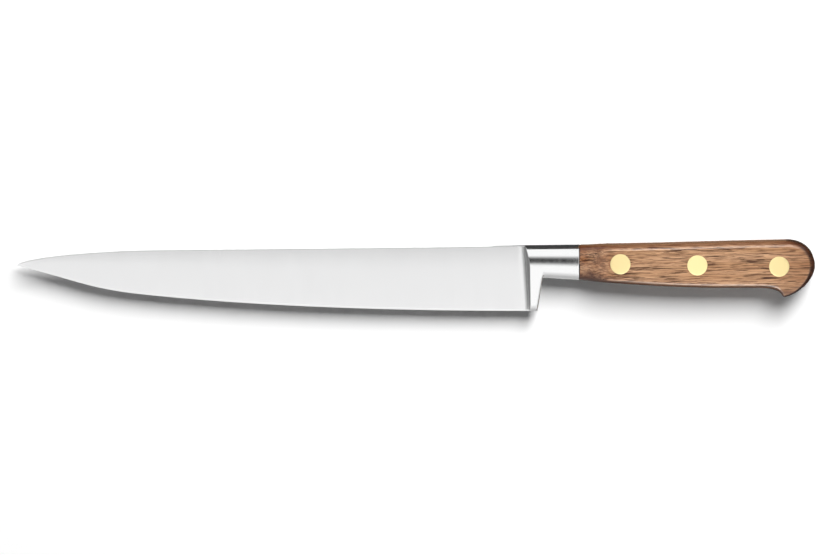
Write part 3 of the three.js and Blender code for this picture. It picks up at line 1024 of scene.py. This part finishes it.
floor_paint, floor_diffuse = bare_material("floor_white", "ShaderNodeBsdfDiffuse")
floor_level = background_level(floor_paint.node_tree, FLOOR_TONE)
floor_paint.node_tree.links.new(floor_level, floor_diffuse.inputs["Color"])
floor_span = (-FLOOR_REACH, FLOOR_REACH)
stage_sheet("floor", panel(floor_span, floor_span, -FLOOR_DROP), floor_paint)


def card(name, corners, levels, axis=2, colour=WHITE):
    """A grey studio card that only reflections see. Levels are (place along axis, brightness)."""
    paint, glow = bare_material(name, "ShaderNodeEmission")
    tree = paint.node_tree
    glow.inputs["Color"].default_value = colour
    places = [place for place, _ in levels]
    split = tree.nodes.new("ShaderNodeSeparateXYZ")
    tree.links.new(tree.nodes.new("ShaderNodeTexCoord").outputs["Object"], split.inputs[0])
    share = tree.nodes.new("ShaderNodeMapRange")
    tree.links.new(split.outputs[axis], share.inputs["Value"])
    share.inputs["From Min"].default_value = min(places)
    share.inputs["From Max"].default_value = max(places)
    ramp = tree.nodes.new("ShaderNodeValToRGB")
    tree.links.new(share.outputs["Result"], ramp.inputs["Fac"])
    stops = ramp.color_ramp.elements
    while len(stops) < len(levels):
        stops.new(0.5)
    for stop, (place, level) in zip(stops, sorted(levels)):
        stop.position = (place - min(places)) / (max(places) - min(places))
        stop.color = (level, level, level, 1)
    path = tree.nodes.new("ShaderNodeLightPath")
    direct = maths(tree, "LESS_THAN", path.outputs["Diffuse Depth"], 0.5)
    tree.links.new(maths(tree, "MULTIPLY", ramp.outputs["Color"], direct), glow.inputs["Strength"])
    sheet = stage_sheet(name, corners, paint)
    sheet.visible_camera = False
    sheet.visible_diffuse = False
    sheet.visible_shadow = False


def over(tilt, distance):
    angle = math.radians(tilt)
    return distance * math.sin(angle), distance * math.cos(angle)


def even(level):
    return [(0, level), (1, level)]


def floor_card(name, x, y, level, colour=WHITE):
    card(name, panel(x, y, FLOOR_CARD_RISE), even(level), colour=colour)


gap_low, gap_high = GAP_LEVELS[0][0], GAP_LEVELS[-1][0]
card(
    "gap_card",
    [(x, *over(tilt, STUDIO)) for x, tilt in ((-3, gap_low), (3, gap_low), (3, gap_high), (-3, gap_high))],
    [(over(tilt, STUDIO)[0], level) for tilt, level in GAP_LEVELS],
    axis=1,
)
card("belly_card", panel((-3, 3), -STUDIO, (0, 4.1)), [(0, 0.45), (4.1, 1.0)])
card("tip_card", panel(-STUDIO, (-1.2, 1.2), (0, 9)), TIP_LEVELS)
for wing, wing_span in (("spine", (1.2, 4.0)), ("edge", (-4.0, -1.2))):
    card(f"{wing}_wing_card", panel(-STUDIO, wing_span, (0, 6.6)), [(0, 0.35), (6.6, 0.85)])
card("butt_card", panel(STUDIO, (-3, 3), (0, 5)), [(0, 0.04), (3.5, 0.04), (5, 1.0)])
card("spine_card", panel((0.03, 1), 0.5, (0, 0.13)), even(0.05))
card("rim_card", panel(0.068, (-0.12, 0.12), (0.017, 0.1)), even(0.8))
card("grip_card", panel((0.066, 0.2), 0.1, (0, 0.075)), even(0.05))
floor_card("collar_floor_card", (0.03, 0.0641), (0.009, 0.5), 0.05)
# The warm floor sheets beside the grip and butt glow brown: a painted reflection on the grip's edges
floor_card("grip_floor_card", (0.0641, 0.145), (0.009, 0.5), 1.0, WARM)
floor_card("butt_floor_card", (0.145, 0.8), (-0.02, 0.5), 0.2, WARM)
# The floor sheets on the belly side lie over the knife's shadow and give reflections painted shade
floor_card("belly_floor_card", (0.02, 0.0641), (-0.5, -0.012), 0.48)
floor_card("grip_belly_floor_card", (0.0641, 0.8), (-0.5, -0.003), 1.0, DUSK)

world = bpy.data.worlds.new("studio")
bpy.context.scene.world = world
world.use_nodes = True
background = world.node_tree.nodes["Background"]
background.inputs["Color"].default_value = WHITE
world.node_tree.links.new(background_level(world.node_tree, WORLD_LIGHT), background.inputs["Strength"])


def softbox(name, tilts, reach, radiance, lit, distance=STUDIO):
    """A rectangular softbox over the knife, from tilt to tilt across it and over its reach along it.
    It either lights or is reflected."""
    low, high = tilts
    lamp = bpy.data.lights.new(name, "AREA")
    lamp.shape = "RECTANGLE"
    lamp.size = reach[1] - reach[0]
    lamp.size_y = 2 * distance * math.tan(math.radians((high - low) / 2))
    lamp.energy = math.pi * lamp.size * lamp.size_y * radiance
    box = bpy.data.objects.new(name, lamp)
    box.location = ((reach[0] + reach[1]) / 2, *over((low + high) / 2, distance))
    box.rotation_euler = (-math.radians((low + high) / 2), 0, 0)
    box.visible_camera = False
    box.visible_diffuse = lit
    box.visible_glossy = not lit
    if not lit:
        lamp.cycles.max_bounces = 1
    bpy.context.scene.collection.objects.link(box)


softbox("key", (18, 57), (0.1, 1.8), 13.4, lit=True)
softbox("bounce", (-60, -20), (0.08, 0.23), 0.7, lit=True, distance=0.2)
softbox("spine_rim", (14, 36), (0.085, 0.165), 4.2, lit=False, distance=0.12)
softbox("spine_rim_start", (14, 36), (0.07, 0.165), 1.7, lit=False, distance=0.12)
softbox("edge_rim", (-54, -18), (0.085, 0.143), 5.0, lit=False, distance=0.12)
softbox("edge_rim_start", (-54, -18), (0.07, 0.143), 2.5, lit=False, distance=0.12)

# Camera: straight over the knife, leaning a little to the spine side
CAMERA_TILT = math.radians(4.6)
CAMERA_DISTANCE = 6.0
VIEW_WIDTH = 0.32603
target = np.array([0.000185, -0.000735, GRIP_HALF / 1000])
camera_data = bpy.data.cameras.new("camera")
camera_data.sensor_width = 36
camera_data.lens = camera_data.sensor_width * CAMERA_DISTANCE / VIEW_WIDTH
camera_data.clip_end = 100
camera = bpy.data.objects.new("camera", camera_data)
camera.location = target + CAMERA_DISTANCE * np.array([0, math.sin(CAMERA_TILT), math.cos(CAMERA_TILT)])
camera.rotation_euler = (-CAMERA_TILT, 0, 0)
bpy.context.scene.collection.objects.link(camera)
bpy.context.scene.camera = camera
bpy.context.scene.view_settings.view_transform = "Standard"

bpy.context.view_layer.update()
